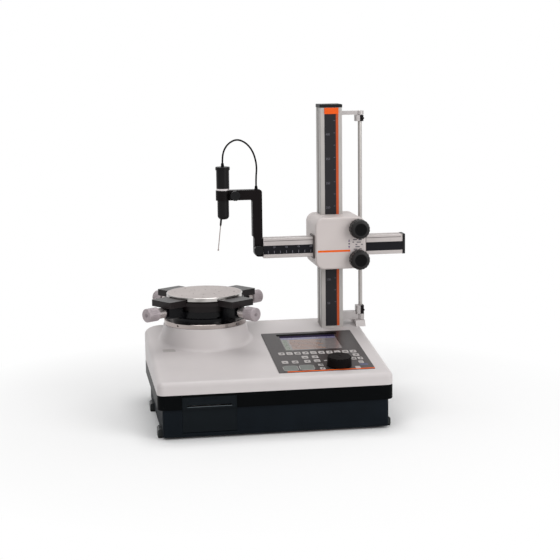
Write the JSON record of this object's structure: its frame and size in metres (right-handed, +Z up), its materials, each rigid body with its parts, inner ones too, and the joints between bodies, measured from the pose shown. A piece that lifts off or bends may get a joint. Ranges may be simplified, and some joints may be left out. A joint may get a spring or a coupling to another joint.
{
  "type": "roundness measuring instrument",
  "caption": "Bench roundness measuring instrument: rotating centring and levelling table, tall column with carriage, horizontal arm and a lever probe with stylus, sloped control panel.",
  "frame": {"origin": "middle of the flat underside of the base tray, 4 mm above the standing surface of the rubber pads", "axes": "+Z up along the column, +X to the operator's right along the arm, the operator's side faces -Y"},
  "size_m": [0.5462, 0.3917, 0.606],
  "materials": {
    "arm": "satin anodised",
    "arm_end_block": "satin anodised",
    "arm_end_cap": "moulded",
    "arm_rack": "hardened",
    "arm_scale": "black film",
    "base_band": "satin black enamel",
    "base_casting": "machined casting, grey primer",
    "base_tray": "satin black enamel",
    "cable_glands": "matt",
    "carriage_housing": "satin off-white enamel",
    "centring_knob_a": "satin, fluted",
    "centring_knob_b": "satin, fluted",
    "column": "satin anodised",
    "column_cap": "satin black",
    "column_rack": "hardened",
    "column_scale": "black film",
    "column_trim": "orange",
    "control_board": "lacquered board",
    "cross_slide": "black anodised",
    "dial": "moulded",
    "dial_encoder": "moulded",
    "display": "display glass",
    "drive_belt": "matt",
    "drive_motor": "satin black",
    "foot_brackets": "machined",
    "foot_pads": "matt",
    "gimbal": "fine ground",
    "guide_pads": "moulded",
    "holder_bar": "satin black",
    "holder_clamp_knob": "moulded",
    "horizontal_feed_knob": "moulded",
    "horizontal_pinion": "hardened",
    "idler_gear": "hardened",
    "levelling_knob_a": "satin, fluted",
    "levelling_knob_b": "satin, fluted",
    "motor_pulley": "machined",
    "panel_keys": "printed film keys",
    "panel_overlay": "textured dark grey film",
    "paper_roll": "white paper",
    "power_supply": "zinc plated sheet",
    "printer_door": "satin black enamel",
    "printer_unit": "zinc plated sheet",
    "probe_body": "satin black",
    "probe_cable": "matt",
    "probe_clamp_knob": "moulded",
    "probe_collar": "ground and polished",
    "rear_inlet": "moulded",
    "rod": "ground and polished",
    "rod_brackets": "satin anodised",
    "rod_clamps": "satin black",
    "spindle": "ground and polished",
    "spindle_housing": "machined casting, grey primer",
    "stage_base": "black anodised",
    "stylus": "hardened",
    "table_plate": "fine ground",
    "table_pulley": "machined",
    "top_cover": "satin off-white enamel",
    "upper_slide": "black anodised",
    "vertical_feed_knob": "moulded",
    "vertical_pinion": "hardened"
  },
  "bodies": {
    "base": {"base_tray": "base_tray", "base_band": "base_band", "top_cover": "top_cover", "base_casting": "base_casting", "foot_brackets": "foot_brackets", "foot_pads": "foot_pads", "spindle_housing": "spindle_housing", "drive_motor": "drive_motor", "drive_belt": "drive_belt", "control_board": "control_board", "power_supply": "power_supply", "rear_inlet": "rear_inlet", "panel_overlay": "panel_overlay", "panel_keys": "panel_keys", "display": "display", "dial_encoder": "dial_encoder", "printer_unit": "printer_unit", "column": "column", "column_cap": "column_cap", "column_scale": "column_scale", "column_trim": "column_trim", "column_rack": "column_rack", "rod": "rod", "rod_brackets": "rod_brackets", "rod_clamps": "rod_clamps"},
    "turntable": {"spindle": "spindle", "table_pulley": "table_pulley", "stage_base": "stage_base"},
    "motor_shaft": {"motor_pulley": "motor_pulley"},
    "centring_screw_a": {"centring_knob_a": "centring_knob_a"},
    "cross_slide": {"cross_slide": "cross_slide"},
    "centring_screw_b": {"centring_knob_b": "centring_knob_b"},
    "upper_slide": {"upper_slide": "upper_slide"},
    "levelling_screw_a": {"levelling_knob_a": "levelling_knob_a"},
    "levelling_screw_b": {"levelling_knob_b": "levelling_knob_b"},
    "gimbal": {"gimbal": "gimbal"},
    "table": {"table_plate": "table_plate"},
    "dial": {"dial": "dial"},
    "printer_door": {"printer_door": "printer_door"},
    "paper_roll": {"paper_roll": "paper_roll"},
    "carriage": {"carriage_housing": "carriage_housing", "guide_pads": "guide_pads"},
    "vertical_drive": {"vertical_feed_knob": "vertical_feed_knob", "vertical_pinion": "vertical_pinion"},
    "idler": {"idler_gear": "idler_gear"},
    "horizontal_drive": {"horizontal_feed_knob": "horizontal_feed_knob", "horizontal_pinion": "horizontal_pinion"},
    "arm": {"arm": "arm", "arm_rack": "arm_rack", "arm_scale": "arm_scale", "arm_end_cap": "arm_end_cap", "arm_end_block": "arm_end_block"},
    "holder": {"holder_bar": "holder_bar", "probe_body": "probe_body", "probe_collar": "probe_collar", "probe_cable": "probe_cable", "cable_glands": "cable_glands"},
    "probe_clamp": {"probe_clamp_knob": "probe_clamp_knob"},
    "holder_clamp": {"holder_clamp_knob": "holder_clamp_knob"},
    "stylus": {"stylus": "stylus"}
  },
  "joints": [
    {"name": "turntable_spin", "type": "hinge", "parent": "base", "child": "turntable", "pos_m": [-0.106, 0.08, 0.17], "axis": [0, 0, 1], "continuous": true},
    {"name": "motor_spin", "type": "hinge", "parent": "base", "child": "motor_shaft", "pos_m": [-0.046, 0, 0.05], "axis": [0, 0, 1], "continuous": true},
    {"name": "centring_a", "type": "slide", "parent": "turntable", "child": "cross_slide", "axis": [0.5736, -0.8192, 0], "range_m": [-0.003, 0.003]},
    {"name": "centring_b", "type": "slide", "parent": "cross_slide", "child": "upper_slide", "axis": [-0.8192, -0.5736, 0], "range_m": [-0.003, 0.003]},
    {"name": "centring_screw_a_turn", "type": "hinge", "parent": "turntable", "child": "centring_screw_a", "pos_m": [-0.03143, -0.02649, 0.2023], "axis": [0.5736, -0.8192, 0], "range_deg": [-1081, 1081]},
    {"name": "centring_screw_b_turn", "type": "hinge", "parent": "cross_slide", "child": "centring_screw_b", "pos_m": [-0.21249, 0.00543, 0.2023], "axis": [-0.8192, -0.5736, 0], "range_deg": [-1081, 1081]},
    {"name": "levelling_screw_a_turn", "type": "hinge", "parent": "upper_slide", "child": "levelling_screw_a", "pos_m": [0.00049, 0.15457, 0.2023], "axis": [0.8192, 0.5736, 0], "range_deg": [-721, 721]},
    {"name": "levelling_screw_b_turn", "type": "hinge", "parent": "upper_slide", "child": "levelling_screw_b", "pos_m": [-0.18057, 0.18649, 0.2023], "axis": [-0.5736, 0.8192, 0], "range_deg": [-721, 721]},
    {"name": "tilt_a", "type": "hinge", "parent": "upper_slide", "child": "gimbal", "pos_m": [-0.106, 0.08, 0.2141], "axis": [0.5736, -0.8192, 0], "range_deg": [-1, 1]},
    {"name": "tilt_b", "type": "hinge", "parent": "gimbal", "child": "table", "pos_m": [-0.106, 0.08, 0.2141], "axis": [0.8192, 0.5736, 0], "range_deg": [-1, 1]},
    {"name": "dial_turn", "type": "hinge", "parent": "base", "child": "dial", "pos_m": [0.13, -0.1262, 0.11175], "axis": [0, -0.1211, 0.9926], "continuous": true},
    {"name": "printer_door_swing", "type": "hinge", "parent": "base", "child": "printer_door", "pos_m": [-0.128, -0.1738, 0.0095], "axis": [1, 0, 0], "range_deg": [0, 90]},
    {"name": "paper_roll_spin", "type": "hinge", "parent": "base", "child": "paper_roll", "pos_m": [-0.128, -0.138, 0.032], "axis": [1, 0, 0], "continuous": true},
    {"name": "carriage_lift", "type": "slide", "parent": "base", "child": "carriage", "axis": [0, 0, 1], "range_m": [-0.058, 0.188]},
    {"name": "vertical_drive_turn", "type": "hinge", "parent": "carriage", "child": "vertical_drive", "pos_m": [0.2075, 0.06, 0.353], "axis": [0, 1, 0], "range_deg": [-513, 1659]},
    {"name": "idler_turn", "type": "hinge", "parent": "carriage", "child": "idler", "pos_m": [0.192, 0.1278, 0.353], "axis": [0, 1, 0], "range_deg": [-1198, 371]},
    {"name": "arm_traverse", "type": "slide", "parent": "carriage", "child": "arm", "axis": [1, 0, 0], "range_m": [-0.075, 0.09]},
    {"name": "horizontal_drive_turn", "type": "hinge", "parent": "carriage", "child": "horizontal_drive", "pos_m": [0.2075, 0.06, 0.2905], "axis": [0, 1, 0], "range_deg": [-539, 646]},
    {"name": "holder_swing", "type": "hinge", "parent": "arm", "child": "holder", "pos_m": [0, 0.08, 0.3165], "axis": [1, 0, 0], "range_deg": [-90, 90]},
    {"name": "holder_clamp_turn", "type": "hinge", "parent": "holder", "child": "holder_clamp", "pos_m": [0.0042, 0.06, 0.3135], "axis": [0, 1, 0], "range_deg": [-360, 360]},
    {"name": "probe_clamp_turn", "type": "hinge", "parent": "holder", "child": "probe_clamp", "pos_m": [-0.042, 0.06, 0.4255], "axis": [0, 1, 0], "range_deg": [-360, 360]},
    {"name": "stylus_swing", "type": "hinge", "parent": "holder", "child": "stylus", "pos_m": [-0.06822, 0.08, 0.383], "axis": [0, 1, 0], "range_deg": [-51, 38]}
  ],
  "couplings": [
    {"joint": "motor_spin", "follows": "turntable_spin", "ratio": 3.75},
    {"joint": "centring_screw_a_turn", "follows": "centring_a", "rad_per_m": 6283.2},
    {"joint": "centring_screw_b_turn", "follows": "centring_b", "rad_per_m": 6283.2},
    {"joint": "levelling_screw_a_turn", "follows": "tilt_a", "ratio": 720},
    {"joint": "levelling_screw_b_turn", "follows": "tilt_b", "ratio": 720},
    {"joint": "idler_turn", "follows": "carriage_lift", "rad_per_m": -111.11},
    {"joint": "vertical_drive_turn", "follows": "carriage_lift", "rad_per_m": 153.85},
    {"joint": "horizontal_drive_turn", "follows": "arm_traverse", "rad_per_m": 125}
  ]
}
